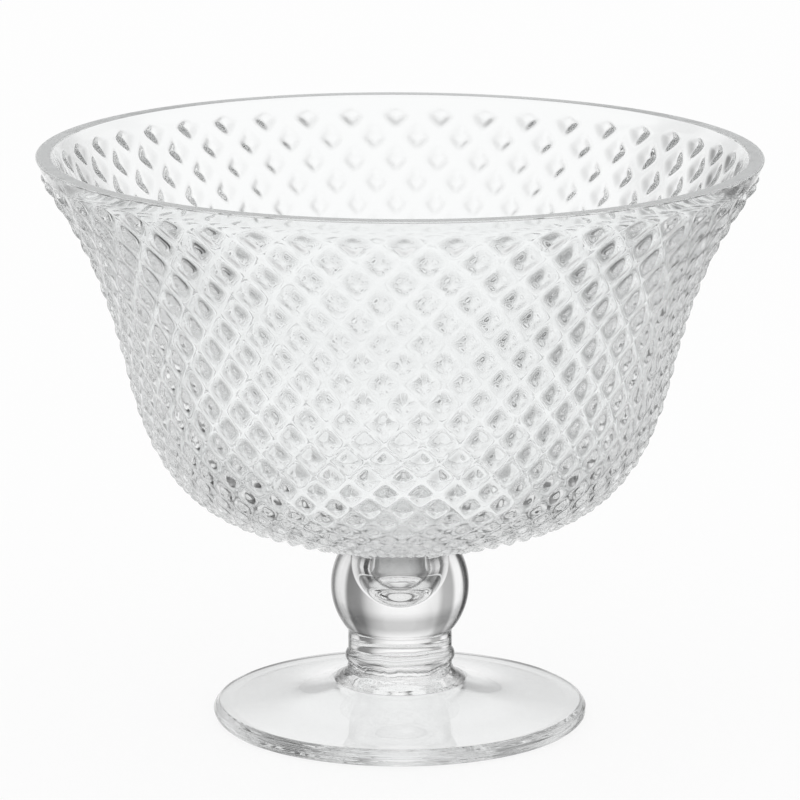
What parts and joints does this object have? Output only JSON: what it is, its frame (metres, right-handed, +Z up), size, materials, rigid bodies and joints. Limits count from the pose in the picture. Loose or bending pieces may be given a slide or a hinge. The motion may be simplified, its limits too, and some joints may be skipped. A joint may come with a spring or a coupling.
{
  "type": "trifle bowl",
  "caption": "Footed clear glass trifle bowl: a flared bowl moulded with diamonds on a ball knop, short neck, merese and round domed foot, for serving layered desserts",
  "frame": {"origin": "on the table, at the middle of the ring on which the foot stands", "axes": "+Z up along the bowl's axis, -Y towards the viewer of the picture, +X to the viewer's right"},
  "size_m": [0.25, 0.25, 0.201],
  "materials": {
    "moulded_glass": "clear colourless glass, fire polished after moulding",
    "clear_glass": "clear colourless glass, hand worked and fire polished"
  },
  "bodies": {
    "root": {"bowl": "moulded_glass", "knop": "clear_glass", "neck": "clear_glass", "merese": "clear_glass", "foot": "clear_glass"}
  },
  "joints": []
}
